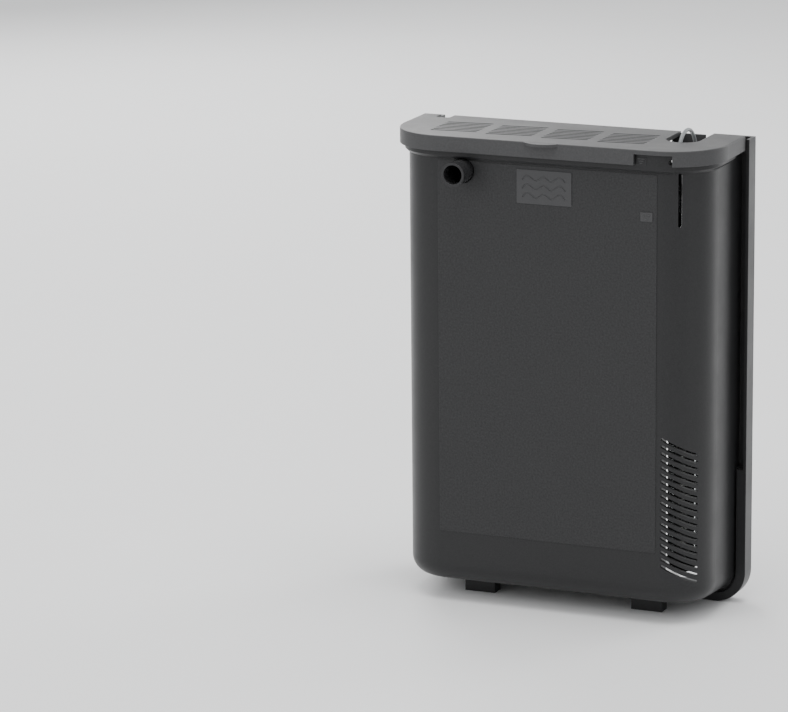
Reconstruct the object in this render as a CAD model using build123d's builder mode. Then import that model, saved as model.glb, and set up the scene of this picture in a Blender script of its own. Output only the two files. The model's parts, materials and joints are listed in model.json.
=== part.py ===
from build123d import *
import math
import os

os.makedirs("parts", exist_ok=True)

# In-tank box filter: an open-backed housing that is glued to an aquarium's glass by its rear flange.
# Frame, in millimetres: X to the right seen from the front, the front faces -Y, Z is up.
# The origin is the middle of the base of the box around the housing, pump outlet and flange.

# ---- driving dimensions ----
width = 278.0  # over the rear flange
height = 380.0  # rim of the housing and top of the flange
body_depth = 97.0  # front wall to the glass
nozzle_reach = 20.5  # how far the outlet stands out of the front wall
wall = 2.8
flange_reach = 10.0  # how far the flange stands out past the body
flange_depth = 15.6
corner_r = 37.0  # the body's upright front corners
base_z = 9.0  # underside of the body at its back
front_rise = 8.0  # how much higher the underside is at the front wall
base_fillet = 16.0

rear = (body_depth + nozzle_reach) / 2  # the face on the glass
front = rear - body_depth  # the outside of the front wall
half = width / 2 - flange_reach  # half the body's width
floor_z = base_z + 3.0  # the chamber's floor at its back
inner_half = half - wall
inner_front = front + wall

# The band round the top of the body, which the lid's skirt covers.
band_step = 3.5
band_z = 365.0

# The two walls that make the heater, cartridge and pump chambers.
divider_t = 3.0
heater_wall_x = 65.0
heater_wall_top = 305.0
pump_wall_x = -43.0
pump_wall_bottom = 40.0
ledge_z = 44.0  # the cartridge rack stands on ledges of this height

# The outlet, the riser and the pump share one upright axis.
outlet_x = -71.0
outlet_z = 356.0
outlet_y = rear - 37.0
nozzle_r = 9.5

# The heater's axis.
heater_x = 97.0
heater_y = rear - 45.0


def save(part, name):
    """Label a finished piece and write its file."""
    part.label = name
    export_step(part, f"parts/{name}.step")


def body_plan(grow, back):
    """The body's outline seen from above, larger by grow, with its straight back at y = back."""
    radius = corner_r + grow
    with BuildSketch() as plan:
        with BuildLine():
            Polyline(
                (-half - grow, front + corner_r),
                (-half - grow, back),
                (half + grow, back),
                (half + grow, front + corner_r),
            )
            RadiusArc((half + grow, front + corner_r), (half - corner_r, front - grow), radius)
            Line((half - corner_r, front - grow), (-half + corner_r, front - grow))
            RadiusArc((-half + corner_r, front - grow), (-half - grow, front + corner_r), radius)
        make_face()
    return plan.sketch


def rise_at(y):
    """How much higher the floor is here than at the rear face."""
    return front_rise * (rear - y) / body_depth


def body_block(grow, back, bottom, top, radius):
    """A block of the body's outline, with a floor that rises to the front and a rounded lower edge."""
    with BuildPart() as block:
        with BuildSketch(Plane.XY.offset(bottom - 2)):
            add(body_plan(grow, back))
        extrude(amount=top - bottom + 2)
        with BuildSketch(Plane.YZ.offset(-width)):
            with BuildLine():
                Polyline(
                    (rear + 30, bottom + rise_at(rear + 30)),
                    (front - 10, bottom + rise_at(front - 10)),
                    (front - 10, bottom - 10),
                    (rear + 30, bottom - 10),
                    close=True,
                )
            make_face()
        extrude(amount=2 * width, mode=Mode.SUBTRACT)
        lower_edges = block.faces().sort_by(Axis.Z)[0].edges()
        fillet(lower_edges.filter_by(lambda e: e.center().Y < back - 1), radius)
    return block.part


def back_outline(half_width, bottom, top, radius):
    """An outline on the rear plane, with its two lower corners rounded."""
    with BuildSketch() as outline:
        with Locations((0, (bottom + top) / 2)):
            Rectangle(2 * half_width, top - bottom)
        fillet(outline.vertices().group_by(Axis.Y)[0], radius)
    return outline.sketch


# ---- housing: body, band, flange, chamber walls and feet in one moulding ----
intake_slots = 19
intake_pitch = 5.75
intake_drop = math.degrees(math.atan(14.2 / 25))  # the slots fall towards the side
slot_thick = 2.4
skimmer_angle = 28.0  # place of the surface slot round the corner
skimmer_bottom = 322.5
lip_t = 2.5
channel_end_z = 111.0  # below it the flange's channel is filled

housing_outer = body_block(0, rear, base_z, height, base_fillet)
housing_hollow = body_block(-wall, rear + 20, floor_z, height + 20, base_fillet - wall)

with BuildPart() as housing_shell:
    add(housing_outer)
    # the band, with a sloping lower edge
    with BuildSketch(Plane.XY.offset(band_z)):
        add(body_plan(band_step, rear - flange_depth))
    extrude(amount=height - band_z)
    chamfer(housing_shell.edges().filter_by(Axis.Z, reverse=True)
            .filter_by(lambda e: abs(e.center().Z - band_z) < 0.01)
            .filter_by(lambda e: e.center().Y < rear - flange_depth - 1)
            .filter_by(lambda e: abs(e.center().X) > half + 1 or e.center().Y < front - 1),
            2.4)
    # the flange and its forward lip
    with BuildSketch(Plane.XZ.offset(-rear)):
        add(back_outline(width / 2, 0, height, base_fillet + flange_reach))
    extrude(amount=flange_depth)
    # the channel between the body and the lip, open to the front
    for side in (-1, 1):
        with Locations((side * (half + flange_reach / 2 - lip_t / 2), rear - flange_depth,
                        (channel_end_z + height) / 2)):
            Box(flange_reach - lip_t, 2 * (flange_depth - 3), height - channel_end_z + 0.01,
                mode=Mode.SUBTRACT)
    with BuildSketch(Plane.XZ.offset(flange_depth - rear)):
        add(back_outline(half + 2.2, base_z - 2.2, channel_end_z + 1, base_fillet + 2.2))
        add(back_outline(half, base_z, channel_end_z + 2, base_fillet), mode=Mode.SUBTRACT)
    extrude(amount=-6, mode=Mode.SUBTRACT)
    add(housing_hollow, mode=Mode.SUBTRACT)
    # a shallow raised field on the front, a badge plate and a level mark
    with BuildSketch(Plane.XZ.offset(-front)):
        with Locations((0, 211.5)):
            RectangleRounded(184, 304, 2)
    extrude(amount=0.5)
    with BuildSketch(Plane.XZ.offset(0.5 - front)):
        with Locations((-1.7, 347)):
            RectangleRounded(46, 27, 1.2)
        with Locations((83.6, 330)):
            RectangleRounded(10, 7, 0.6)
    extrude(amount=0.6)
    # three waves pressed into the badge plate
    for row in range(3):
        with BuildSketch(Plane.XZ.offset(1.1 - front)):
            with BuildLine() as wave:
                Spline([(-19.7 + 6 * i, 340 + 7 * row + (1.6 if i % 2 else -1.6)) for i in range(7)])
            trace(wave.line, 1.3)
        extrude(amount=-0.4, mode=Mode.SUBTRACT)
    # level mark on the band, seen through the lid's window
    with BuildSketch(Plane.XZ.offset(band_step - front)):
        with Locations((80, 374.6)):
            RectangleRounded(9, 6, 0.6)
    extrude(amount=0.4)
    # slanted intake slots through the right front corner
    slot_mid_x = 108.8
    with BuildSketch(Plane.XZ.offset(-front - corner_r)):
        for i in range(intake_slots):
            with Locations((slot_mid_x, 42.4 + i * intake_pitch)):
                SlotOverall(29.5, slot_thick, rotation=-intake_drop)
    extrude(amount=corner_r + 5, mode=Mode.SUBTRACT)
    # upright surface slot in the same corner
    skimmer_height = band_z - skimmer_bottom
    skimmer_cos = math.cos(math.radians(skimmer_angle))
    skimmer_sin = math.sin(math.radians(skimmer_angle))
    skimmer_x = half - corner_r + corner_r * skimmer_sin
    skimmer_y = front + corner_r - corner_r * skimmer_cos
    with BuildSketch(Plane((skimmer_x, skimmer_y, skimmer_bottom + skimmer_height / 2),
                           x_dir=(skimmer_cos, skimmer_sin, 0),
                           z_dir=(skimmer_sin, -skimmer_cos, 0))):
        SlotOverall(skimmer_height, 3.0, rotation=90)
    extrude(amount=8, both=True, mode=Mode.SUBTRACT)
    # level overflow slots through the band's front corners, under the lid's skirt
    with BuildSketch(Plane.XZ.offset(-front - corner_r)):
        with Locations((-114, 374.5), (114, 374.5)):
            SlotOverall(24, 4.0)
    extrude(amount=corner_r + 5, mode=Mode.SUBTRACT)
    # the outlet's hole
    with Locations(Plane((outlet_x, front, outlet_z), z_dir=(0, -1, 0))):
        Cylinder(nozzle_r + 0.6, 20, mode=Mode.SUBTRACT)
    # feet that level the body with the flange
    foot_height = base_z + rise_at(front + 35) + 0.5
    with Locations((-72, front + 41, foot_height / 2), (72, front + 41, foot_height / 2)):
        Box(26, 12, foot_height)
save(housing_shell.part, "housing_shell")

# ---- the two chamber walls, each with a ledge for the rack, a hair clear of the shell ----
ledge_reach = 3.5
ledge_depth = 80.0
wall_back = rear - 1.5
wall_space = housing_hollow.moved(Location((0, 0.02, 0.02)))

for wall_name, x, bottom, top, ledge_side in (
        ("heater_chamber_wall", heater_wall_x, floor_z - 1, heater_wall_top, -1),
        ("pump_chamber_wall", pump_wall_x, pump_wall_bottom, height, 1)):
    with BuildPart() as chamber_wall:
        with Locations((x, (inner_front - 1 + wall_back) / 2, (bottom + top) / 2)):
            Box(divider_t, wall_back - inner_front + 1, top - bottom)
        with Locations((x + ledge_side * (divider_t + ledge_reach) / 2, inner_front + ledge_depth / 2 + 4,
                        ledge_z - 2)):
            Box(ledge_reach, ledge_depth, 4)
        add(wall_space, mode=Mode.INTERSECT)
    save(chamber_wall.part, wall_name)

# ---- lid ----
lid_under = height + 0.3
lid_t = 3.5
lid_grow = 7.5
skirt_z = 371.5
skirt_t = 3.0
lid_back = rear - flange_depth - 2.4
notch_x = heater_x
notch_front = rear - 64.0
notch_half = 14.0

with BuildPart() as lid:
    with BuildSketch(Plane.XY.offset(skirt_z)):
        add(body_plan(lid_grow, lid_back))
    extrude(amount=lid_under + lid_t - skirt_z)
    with BuildSketch(Plane.XY.offset(skirt_z)):
        add(body_plan(lid_grow - skirt_t, lid_back + 5))
    extrude(amount=lid_under - skirt_z, mode=Mode.SUBTRACT)
    fillet(lid.faces().sort_by(Axis.Z)[-1].edges(), 0.8)
    # vents: four panels of slanting slots
    panel_pitch = 47.0
    panel_left = -104.5
    panel_w = 38.5
    panel_y = rear - 63.0
    panel_d = 41.0
    with BuildSketch(Plane.XY.offset(lid_under - 1)):
        for panel in range(4):
            for line in range(7):
                y = panel_y + (line - 3) * panel_d / 7
                with Locations((panel_left + panel_w / 2 + panel * panel_pitch, y)):
                    SlotOverall(panel_w, 2.4, rotation=6)
    extrude(amount=10, mode=Mode.SUBTRACT)
    # the cable opening, open to the back
    with BuildSketch(Plane.XY.offset(lid_under - 1)):
        with Locations((notch_x, (notch_front + notch_half + lid_back + 10) / 2)):
            Rectangle(2 * notch_half, lid_back + 10 - notch_front - notch_half)
        with Locations((notch_x, notch_front + notch_half)):
            Circle(notch_half)
    extrude(amount=10, mode=Mode.SUBTRACT)
    # a flap behind the cable opening, with a gap at its right end that the lead slips through
    with Locations((90, lid_back - 0.75, (skirt_z + lid_under + 2) / 2)):
        Box(28, 1.5, lid_under + 2 - skirt_z)
    # a small notch in the back edge, at the other end
    with BuildSketch(Plane.XY.offset(lid_under - 1)):
        with Locations((-116, lid_back)):
            RectangleRounded(12, 24, 3)
    extrude(amount=10, mode=Mode.SUBTRACT)
    # the window in the skirt that shows the level mark
    with Locations((90.5, front - lid_grow, (skirt_z + lid_under) / 2 - 0.5)):
        Box(31, 16, lid_under - skirt_z + 1, mode=Mode.SUBTRACT)
    # finger tab: a half round ledge on the front edge
    with BuildSketch(Plane.XY.offset(lid_under + lid_t - 2.2)):
        with Locations((-2, front - lid_grow + 12.2)):
            Circle(19)
        with Locations((-2, front - lid_grow + 40)):
            Rectangle(60, 80, mode=Mode.SUBTRACT)
    extrude(amount=2.2)
save(lid.part, "lid")

# ---- outlet elbow, seal and riser ----
elbow_r = 10.0
riser_r = 8.0
riser_bore = 6.5
riser_bottom = 92.0
riser_top = 326.0
nozzle_tip = front - nozzle_reach
nozzle_length = nozzle_reach - band_step - 0.1
nozzle_root_r = nozzle_r - 0.2
collar_z = 313.5

with BuildPart() as outlet_elbow:
    with Locations((outlet_x, outlet_y, (collar_z + outlet_z) / 2)):
        Cylinder(elbow_r, outlet_z - collar_z)
    with Locations((outlet_x, outlet_y, collar_z + 7)):
        Cylinder(11.6, 14)
    with Locations((outlet_x, outlet_y, outlet_z)):
        Sphere(elbow_r)
    with Locations(Plane((outlet_x, (outlet_y + nozzle_tip) / 2, outlet_z), z_dir=(0, -1, 0))):
        Cylinder(nozzle_root_r, outlet_y - nozzle_tip)
    # the free end, a little thicker than the pipe behind it
    with Locations(Plane((outlet_x, nozzle_tip + nozzle_length / 2, outlet_z), z_dir=(0, -1, 0))):
        Cylinder(nozzle_r, nozzle_length)
    # the shoulder that stops against the seal
    with Locations(Plane((outlet_x, inner_front + 4.5, outlet_z), z_dir=(0, -1, 0))):
        Cylinder(12.5, 3)
    with Locations(Plane((outlet_x, (outlet_y + nozzle_tip) / 2, outlet_z), z_dir=(0, -1, 0))):
        Cylinder(nozzle_r - 1.8, outlet_y - nozzle_tip + 2, mode=Mode.SUBTRACT)
    with Locations((outlet_x, outlet_y, (collar_z + outlet_z) / 2)):
        Cylinder(riser_bore, outlet_z - collar_z + 2, mode=Mode.SUBTRACT)
    with Locations((outlet_x, outlet_y, (collar_z + riser_top) / 2)):
        Cylinder(riser_r + 0.05, riser_top - collar_z + 0.01, mode=Mode.SUBTRACT)
    # the bore's back end is closed by the ball
    with Locations((outlet_x, outlet_y + elbow_r - 1.2, outlet_z)):
        Box(8, 1.6, 8)
save(outlet_elbow.part, "outlet_elbow")

with BuildPart() as outlet_seal:
    with Locations(Plane((outlet_x, inner_front + 1.5, outlet_z), z_dir=(0, -1, 0))):
        Cylinder(13, 3)
        Cylinder(nozzle_root_r + 0.02, 4, mode=Mode.SUBTRACT)
    fillet(outlet_seal.edges().filter_by(GeomType.CIRCLE).filter_by(lambda e: e.radius > 12), 1.2)
save(outlet_seal.part, "outlet_seal")

with BuildPart() as riser_pipe:
    with Locations((outlet_x, outlet_y, (riser_bottom + riser_top) / 2)):
        Cylinder(riser_r, riser_top - riser_bottom - 0.2)
        Cylinder(riser_bore, riser_top - riser_bottom + 2, mode=Mode.SUBTRACT)
save(riser_pipe.part, "riser_pipe")

# ---- pump: body, end cap, impeller chamber cover, flow dial, rotor and feet ----
pump_z = 45.5  # its motor's axis, along X
pump_half_z = 26.5
pump_half_y = 25.0
pump_right = -60.0
pump_left = -112.0
well_r = 14.0
well_depth = 17.0
motor_bore_r = 7.5
motor_bore_depth = 46.0
facing_x = (1, 0, 0)


def pump_outline(shrink):
    """The pump's rounded square section, seen along its motor's axis."""
    with BuildSketch() as section:
        RectangleRounded(2 * (pump_half_y - shrink), 2 * (pump_half_z - shrink), 5 - shrink)
    return section.sketch


def pump_plane(x):
    """A plane across the pump's axis at x, with its own X along Y and its own Y along Z."""
    return Plane((x, outlet_y, pump_z), x_dir=(0, 1, 0), z_dir=facing_x)


with BuildPart() as pump_body:
    with BuildSketch(pump_plane(pump_left)):
        add(pump_outline(0))
    extrude(amount=pump_right - pump_left)
    # the shallow seam near the cover
    with BuildSketch(pump_plane(pump_right - 9)):
        add(pump_outline(-0.1))
        add(pump_outline(0.5), mode=Mode.SUBTRACT)
    extrude(amount=0.7, mode=Mode.SUBTRACT)
    # the outlet spigot, with a nipple that the riser fits over
    with Locations((outlet_x, outlet_y, (pump_z + pump_half_z + riser_bottom) / 2 - 2)):
        Cylinder(riser_r - 0.2, riser_bottom - pump_z - pump_half_z + 3.8)
    with Locations((outlet_x, outlet_y, riser_bottom + 6)):
        Cylinder(riser_bore - 0.05, 12.2)
    with Locations((outlet_x, outlet_y, (pump_z + riser_bottom + 13) / 2)):
        Cylinder(4.6, riser_bottom + 13 - pump_z, mode=Mode.SUBTRACT)
    # the impeller's well and the rotor's bore
    with BuildSketch(pump_plane(pump_right)):
        Circle(well_r)
    extrude(amount=-well_depth, mode=Mode.SUBTRACT)
    with BuildSketch(pump_plane(pump_right)):
        Circle(motor_bore_r)
    extrude(amount=-motor_bore_depth, mode=Mode.SUBTRACT)
    # gland for the pump's own lead, on the front face
    with Locations(Plane((pump_left + 14, outlet_y - pump_half_y - 3, pump_z + 8), z_dir=(0, -1, 0))):
        Cylinder(4.2, 7)
save(pump_body.part, "pump_body")

with BuildPart() as pump_end_cap:
    with BuildSketch(pump_plane(pump_left - 0.2)):
        add(pump_outline(0))
    extrude(amount=-9.5)
    with Locations((pump_left - 9.5 + 110, outlet_y, pump_z)):
        Sphere(110, mode=Mode.INTERSECT)
save(pump_end_cap.part, "pump_end_cap")

cover_x = pump_right + 0.1
cover_t = 3.0
dial_x = cover_x + cover_t + 0.3
dial_t = 4.0
intake_r = 8.0

with BuildPart() as pump_cover:
    with BuildSketch(pump_plane(cover_x)):
        Circle(16.5)
    extrude(amount=cover_t)
    with BuildSketch(pump_plane(cover_x)):
        with PolarLocations(6.4, 4):
            Circle(2.6)
    extrude(amount=cover_t, mode=Mode.SUBTRACT)
    # the centre boss holds the shaft's bush inside and the flow dial outside
    with BuildSketch(pump_plane(cover_x)):
        Circle(2.6)
    extrude(amount=cover_t + 0.3 + dial_t + 0.8)
    with BuildSketch(pump_plane(cover_x)):
        Circle(1.9)
    extrude(amount=cover_t, mode=Mode.SUBTRACT)
save(pump_cover.part, "pump_cover")

with BuildPart() as flow_dial:
    with BuildSketch(pump_plane(dial_x)):
        Circle(15.5)
        Circle(2.65, mode=Mode.SUBTRACT)
    extrude(amount=dial_t)
    fillet(flow_dial.faces().sort_by(Axis.X)[-1].edges().filter_by(lambda e: e.radius > 10), 1.5)
    with BuildSketch(pump_plane(dial_x)):
        with PolarLocations(6.4, 4):
            SlotOverall(6.6, 4.4, rotation=90)
    extrude(amount=dial_t, mode=Mode.SUBTRACT)
    # finger ribs round the rim
    with BuildSketch(pump_plane(dial_x)):
        with PolarLocations(15.5, 18):
            Circle(0.7)
    extrude(amount=dial_t - 1.6)
save(flow_dial.part, "flow_dial")

shaft_r = 1.2
rotor_r = 6.8
rotor_x0 = pump_right - motor_bore_depth + 3.0
rotor_x1 = pump_right - well_depth + 1.0
blade_x1 = pump_right - 2.5

with BuildPart() as impeller:
    with BuildSketch(pump_plane(rotor_x0)):
        Circle(rotor_r)
    extrude(amount=rotor_x1 - rotor_x0)
    with BuildSketch(pump_plane(rotor_x1)):
        Circle(12.5)
    extrude(amount=1.6)
    with BuildSketch(pump_plane(rotor_x1)):
        with PolarLocations(7.6, 6):
            Rectangle(9.4, 1.3)
        Circle(3.6)
    extrude(amount=blade_x1 - rotor_x1)
    with BuildSketch(pump_plane(rotor_x0)):
        Circle(shaft_r + 0.06)
    extrude(amount=blade_x1 - rotor_x0, mode=Mode.SUBTRACT)
save(impeller.part, "impeller")

with BuildPart() as impeller_shaft:
    with BuildSketch(pump_plane(pump_right - motor_bore_depth + 0.6)):
        Circle(shaft_r)
    extrude(amount=cover_x + cover_t - 0.6 - (pump_right - motor_bore_depth + 0.6))
save(impeller_shaft.part, "impeller_shaft")

with BuildPart() as shaft_bushes:
    for x in (pump_right - motor_bore_depth + 0.1, cover_x + 0.2):
        with BuildSketch(pump_plane(x)):
            Circle(1.85)
            Circle(shaft_r, mode=Mode.SUBTRACT)
        extrude(amount=2.4)
save(shaft_bushes.part, "shaft_bushes")

cup_gap_x = 30.0
cup_gap_y = 28.0
cup_reach = 8.6
stem_top = pump_z - pump_half_z - 0.1
with BuildPart() as pump_suction_cups:
    for cup_y in (outlet_y - cup_gap_y / 2, outlet_y + cup_gap_y / 2):
        rim_z = floor_z + rise_at(cup_y - cup_reach) + 0.05
        with BuildSketch(Plane.XZ) as cup_profile:
            with BuildLine():
                Polyline((0, rim_z + 0.7), (7.6, rim_z), (cup_reach, rim_z + 0.3), (4.2, rim_z + 1.2),
                         (2.6, rim_z + 1.5), (2.6, stem_top), (0, stem_top), (0, rim_z + 0.7))
            make_face()
        with Locations((pump_right - 11, cup_y, 0), (pump_right - 11 - cup_gap_x, cup_y, 0)):
            add(revolve(cup_profile.sketch, axis=Axis.Z, mode=Mode.PRIVATE))
save(pump_suction_cups.part, "pump_suction_cups")

# ---- cartridge rack: two side plates, finger loops and an open base frame ----
rack_x = (heater_wall_x + pump_wall_x) / 2
rack_half = (heater_wall_x - pump_wall_x - divider_t) / 2 - 1.0
plate_t = 2.0
rack_back = rear - 4.5
rack_depth = 88.0
rack_front = rack_back - rack_depth
rack_mid_y = (rack_back + rack_front) / 2
rack_base_z = 47.0
rack_base_t = 3.0
rack_top = 341.0
loop_depth = 56.0
loop_reach = 27.8
loop_rod = 5.0


def loop_shape(reach, depth, radius):
    """A finger loop's outline: flat against its plate, rounded at the far end."""
    with BuildSketch() as shape:
        Rectangle(reach, depth, align=(Align.MIN, Align.CENTER))
        fillet(shape.vertices().group_by(Axis.X)[-1], radius)
    return shape.sketch


with BuildPart() as cartridge_rack:
    for side in (-1, 1):
        plate_x = rack_x + side * (rack_half - plate_t / 2)
        with Locations((plate_x, rack_mid_y, (ledge_z + 0.4 + rack_top) / 2)):
            Box(plate_t, rack_depth, rack_top - ledge_z - 0.4)
        # the top is stepped down at both ends, and cut out under the loop
        for y in (rack_back, rack_front):
            with Locations((plate_x, y, rack_top)):
                Box(plate_t + 1, 24, 50, mode=Mode.SUBTRACT)
        with Locations((plate_x, rack_mid_y, rack_top - loop_rod - 14)):
            Box(plate_t + 1, 26, 28, mode=Mode.SUBTRACT)
    # base frame with two cross ribs
    with Locations((rack_x, rack_mid_y, rack_base_z + rack_base_t / 2)):
        Box(2 * rack_half - 1, rack_depth, rack_base_t)
    with Locations(*[(rack_x + (i - 1) * 32, rack_mid_y, rack_base_z + rack_base_t / 2) for i in range(3)]):
        Box(28, rack_depth - 14, rack_base_t + 2, mode=Mode.SUBTRACT)
    # nubs under the frame's back and front rails
    with GridLocations(22, rack_depth - 8, 4, 2):
        with Locations((rack_x, rack_mid_y, rack_base_z - 1)):
            Cylinder(1.6, 2.4)
save(cartridge_rack.part, "cartridge_rack")

# the finger loops reach from the side plates over the cartridges
for side, loop_name in ((-1, "finger_loop_left"), (1, "finger_loop_right")):
    root_x = rack_x + side * (rack_half - plate_t - 0.01)
    with BuildPart() as finger_loop:
        with BuildSketch(Plane((root_x, rack_mid_y, rack_top - loop_rod), x_dir=(-side, 0, 0),
                               z_dir=(0, 0, 1))):
            add(loop_shape(loop_reach, loop_depth, 24))
            add(loop_shape(loop_reach - loop_rod, loop_depth - 2 * loop_rod, 19), mode=Mode.SUBTRACT)
        extrude(amount=loop_rod)
    save(finger_loop.part, loop_name)

# ---- four cartridges: a clear box with a grille floor, a grille lid and its filling ----
box_half = rack_half - plate_t - 0.5
box_depth = 84.0
box_back = rack_back - 0.7
box_mid_y = box_back - box_depth / 2
box_wall = 1.2
box_lid_t = 3.0
small_pitch = 44.0
large_pitch = 84.0
cartridges = [("ceramic", small_pitch), ("foam", large_pitch),
              ("carbon", small_pitch), ("floss", large_pitch)]
box_z = rack_base_z + rack_base_t + 0.4

for cartridge, pitch in cartridges:
    box_top = box_z + pitch - box_lid_t - 0.4
    with BuildPart() as cartridge_box:
        with Locations((rack_x, box_mid_y, (box_z + box_top) / 2)):
            Box(2 * box_half - 2.4, box_depth - 2.4, box_top - box_z)
            Box(2 * box_half - 2.4 - 2 * box_wall, box_depth - 2.4 - 2 * box_wall, box_top - box_z,
                mode=Mode.SUBTRACT)
        # the floor, a grille of bars
        with Locations((rack_x, box_mid_y, box_z + 0.8)):
            Box(2 * box_half - 2.6, box_depth - 2.6, 1.6)
        with Locations(*[(rack_x + (i - 1.5) * 23.4, box_mid_y, box_z + 0.8) for i in range(4)]):
            with GridLocations(0.001, 7.2, 1, 10):
                Box(20.4, 3.6, 3, mode=Mode.SUBTRACT)
        # rim under the lid, and pairs of upright ribs on the back and front walls
        with Locations((rack_x, box_mid_y, box_top - 1.0)):
            Box(2 * box_half, box_depth, 2.0)
            Box(2 * box_half - 4.8, box_depth - 4.8, 2.0, mode=Mode.SUBTRACT)
        with Locations(*[(rack_x + share * box_half + pair, box_mid_y + end * (box_depth / 2 - 0.9),
                          (box_z + box_top) / 2)
                         for share in (-0.78, 0, 0.78) for pair in (-2, 2) for end in (-1, 1)]):
            Box(1.0, 0.8, box_top - box_z - 0.2)
    save(cartridge_box.part, f"{cartridge}_box")

    with BuildPart() as cartridge_lid:
        with BuildSketch(Plane.XY.offset(box_top + 0.05)):
            with Locations((rack_x, box_mid_y)):
                RectangleRounded(2 * box_half, box_depth, 2.5)
        extrude(amount=box_lid_t - 0.05)
        # the middle is a thinner grille of slats in four bays
        with Locations((rack_x, box_mid_y, box_top + box_lid_t)):
            Box(2 * box_half - 7, box_depth - 7, 2.4, mode=Mode.SUBTRACT)
        with Locations(*[(rack_x + (i - 1.5) * 23.0, box_mid_y, box_top + 1) for i in range(4)]):
            with GridLocations(0.001, 6.6, 1, 11):
                Box(19.4, 3.2, 4, mode=Mode.SUBTRACT)
        # four small lugs, and the cross bars that part the bays
        with Locations((rack_x, box_mid_y, box_top + 2.3)):
            with GridLocations(74, 52, 2, 2):
                Cylinder(2.6, 1.4)
        with Locations((rack_x, box_mid_y, box_top + 2.1)):
            with GridLocations(23.0, 1, 3, 1):
                Box(2.0, box_depth - 6.8, 1.8)
    save(cartridge_lid.part, f"{cartridge}_box_lid")

    with BuildPart() as filling:
        with Locations((rack_x, box_mid_y, (box_z + 1.9 + box_top - 0.3) / 2)):
            Box(2 * box_half - 2.4 - 2 * box_wall - 0.6, box_depth - 2.4 - 2 * box_wall - 0.6,
                box_top - box_z - 2.2)
        fillet(filling.edges().filter_by(Axis.Z), 2)
    save(filling.part, f"{cartridge}_filling")
    box_z += pitch

# ---- heater ----
knob_z0 = 343.6
knob_top = 365.5
knob_r = 16.3
head_z0 = 308.0
head_top = 343.2
guard_r = 13.0
guard_bore = 11.6
tube_r = 11.0
foot_z = 44.0  # centre of the round ends of the tube and the guard
guard_top = 300.0
cage_top = 189.0
gland_reach = 22.0  # from the heater's axis forward to the lead's gland
gland_bottom = 329.0
gland_top = 350.0
ring_pitch = 3.9
ring_t = 1.7
ring_count = 36

with BuildPart() as heater_head:
    with BuildSketch(Plane.XZ):
        with BuildLine():
            Polyline((0, head_z0), (14.2, head_z0), (15.2, head_z0 + 2), (16.7, head_z0 + 22),
                     (16.7, head_top), (6, head_top), (6, knob_top - 4), (0, knob_top - 4), (0, head_z0))
        make_face()
    revolve(axis=Axis.Z)
    # the socket for the glass tube and the guard's top
    with Locations((0, 0, head_z0 + 4)):
        Cylinder(tube_r + 0.02, 12, mode=Mode.SUBTRACT)
    # the boss on the front side that the lead's gland stands on
    with Locations((0, -gland_reach, gland_bottom - 9)):
        Cylinder(4.8, 18)
    with Locations((0, -17, gland_bottom - 9)):
        Box(7, 9, 18)
    # an index mark for the dial
    with Locations((0, 16.9, head_top - 3)):
        Box(1.4, 0.8, 5)
heater_head.part = heater_head.part.moved(Location((heater_x, heater_y, 0)))
save(heater_head.part, "heater_head")

with BuildPart() as lead_gland:
    with BuildSketch(Plane.XY.offset(gland_bottom + 0.02)):
        with Locations((heater_x, heater_y - gland_reach)):
            Circle(4.3)
    with BuildSketch(Plane.XY.offset(gland_top)):
        with Locations((heater_x, heater_y - gland_reach)):
            Circle(2.3)
    loft()
save(lead_gland.part, "lead_gland")

with BuildPart() as heater_knob:
    with Locations((heater_x, heater_y, (knob_z0 + knob_top) / 2)):
        Cylinder(knob_r, knob_top - knob_z0)
    with Locations((heater_x, heater_y, (knob_z0 + knob_top - 3.8) / 2)):
        Cylinder(6.05, knob_top - 3.8 - knob_z0, mode=Mode.SUBTRACT)
    # grip grooves
    with Locations((heater_x, heater_y, (knob_z0 + knob_top) / 2)):
        with PolarLocations(knob_r + 0.5, 24):
            Cylinder(1.1, knob_top - knob_z0 + 1, mode=Mode.SUBTRACT)
    # the ring groove for the scale
    with BuildSketch(Plane.XY.offset(knob_top - 0.6)):
        with Locations((heater_x, heater_y)):
            Circle(12.3)
            Circle(8.7, mode=Mode.SUBTRACT)
    extrude(amount=1, mode=Mode.SUBTRACT)
save(heater_knob.part, "heater_knob")

with BuildPart() as knob_scale_ring:
    with BuildSketch(Plane.XY.offset(knob_top - 0.6)):
        with Locations((heater_x, heater_y)):
            Circle(12.2)
            Circle(8.8, mode=Mode.SUBTRACT)
    extrude(amount=0.7)
save(knob_scale_ring.part, "knob_scale_ring")

with BuildPart() as heater_tube:
    with Locations((heater_x, heater_y, (foot_z + head_z0 + 9) / 2)):
        Cylinder(tube_r, head_z0 + 9 - foot_z)
    with Locations((heater_x, heater_y, foot_z)):
        Sphere(tube_r)
    with Locations((heater_x, heater_y, (foot_z + head_z0 + 12) / 2)):
        Cylinder(tube_r - 1.2, head_z0 + 12 - foot_z, mode=Mode.SUBTRACT)
    with Locations((heater_x, heater_y, foot_z)):
        Sphere(tube_r - 1.2, mode=Mode.SUBTRACT)
save(heater_tube.part, "heater_tube")

with BuildPart() as heater_element:
    with Locations((heater_x, heater_y, (foot_z + 2 + cage_top - 6) / 2)):
        Cylinder(8.0, cage_top - 6 - foot_z - 2)
    with Locations((heater_x, heater_y, cage_top + 4)):
        Cylinder(9.7, 4)
    with Locations((heater_x, heater_y, cage_top - 2)):
        Cylinder(2, 10)
save(heater_element.part, "heater_element")

with BuildPart() as heater_control_board:
    with Locations((heater_x, heater_y + 4, (cage_top + 8 + head_z0) / 2)):
        Box(15, 1.6, head_z0 - cage_top - 10)
    with Locations((heater_x, heater_y + 1.5, head_z0 - 30), (heater_x - 2, heater_y + 1.5, head_z0 - 62)):
        Box(9, 4, 14)
save(heater_control_board.part, "heater_control_board")

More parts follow.
